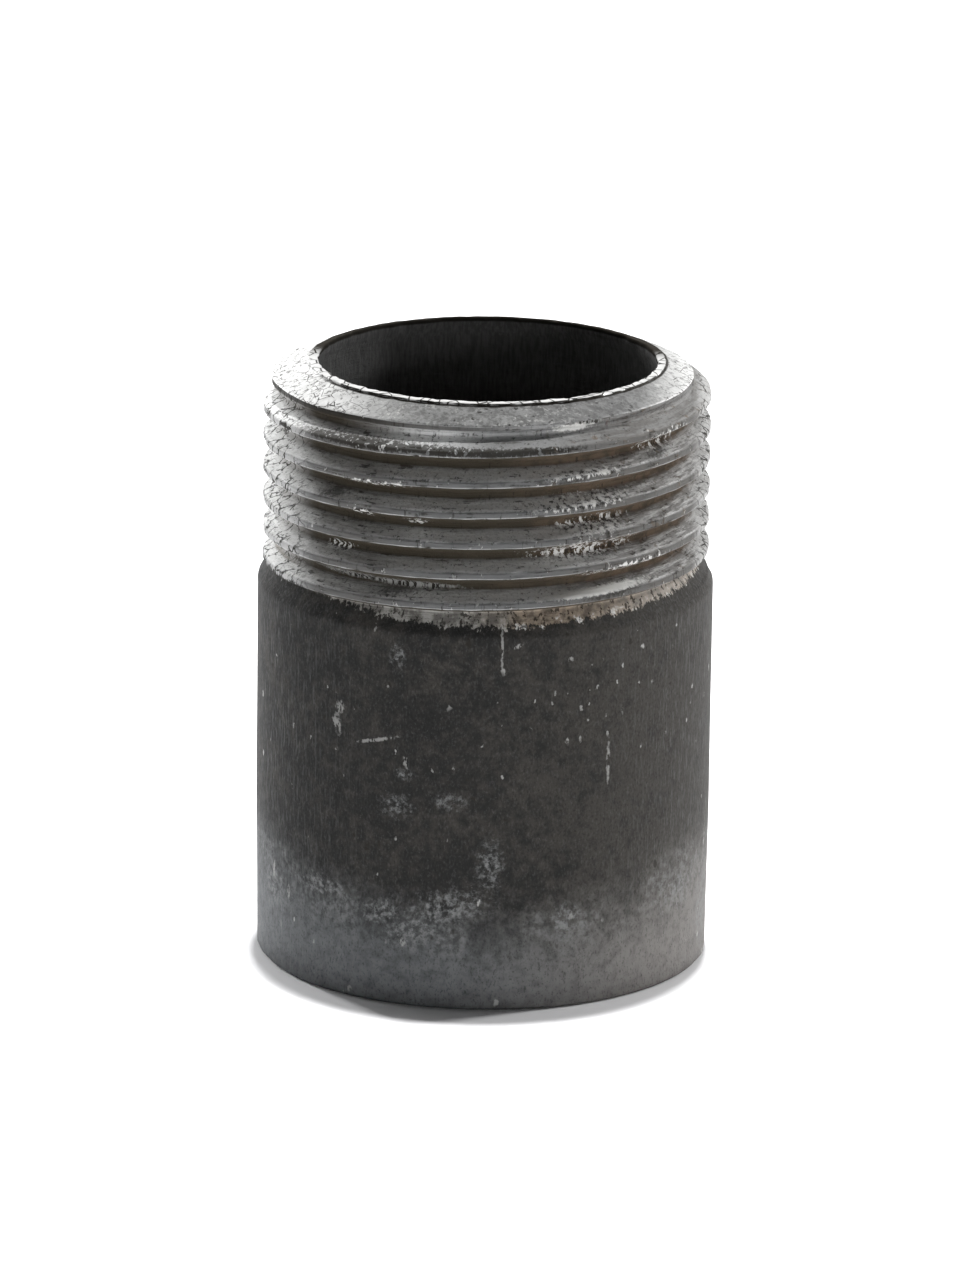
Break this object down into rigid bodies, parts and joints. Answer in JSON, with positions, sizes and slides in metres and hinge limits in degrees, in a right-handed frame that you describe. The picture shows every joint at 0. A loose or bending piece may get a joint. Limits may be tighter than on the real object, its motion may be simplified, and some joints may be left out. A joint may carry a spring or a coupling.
{
  "type": "threaded pipe nipple",
  "caption": "Short black steel pipe nipple with a plain foot for welding and a right-hand parallel pipe thread at its chamfered mouth.",
  "frame": {"origin": "centre of the plain end's face, where the bore's axis leaves the foot", "axes": "+Z along the bore's axis from the plain foot to the threaded mouth; -Y is the side that faces the viewer"},
  "size_m": [0.027, 0.027, 0.0359],
  "materials": {
    "black_steel": "dark mill scale on the pipe wall, worn bare steel with brown staining on the thread and the mouth"
  },
  "bodies": {
    "root": {"nipple_body": "black_steel"}
  },
  "joints": []
}
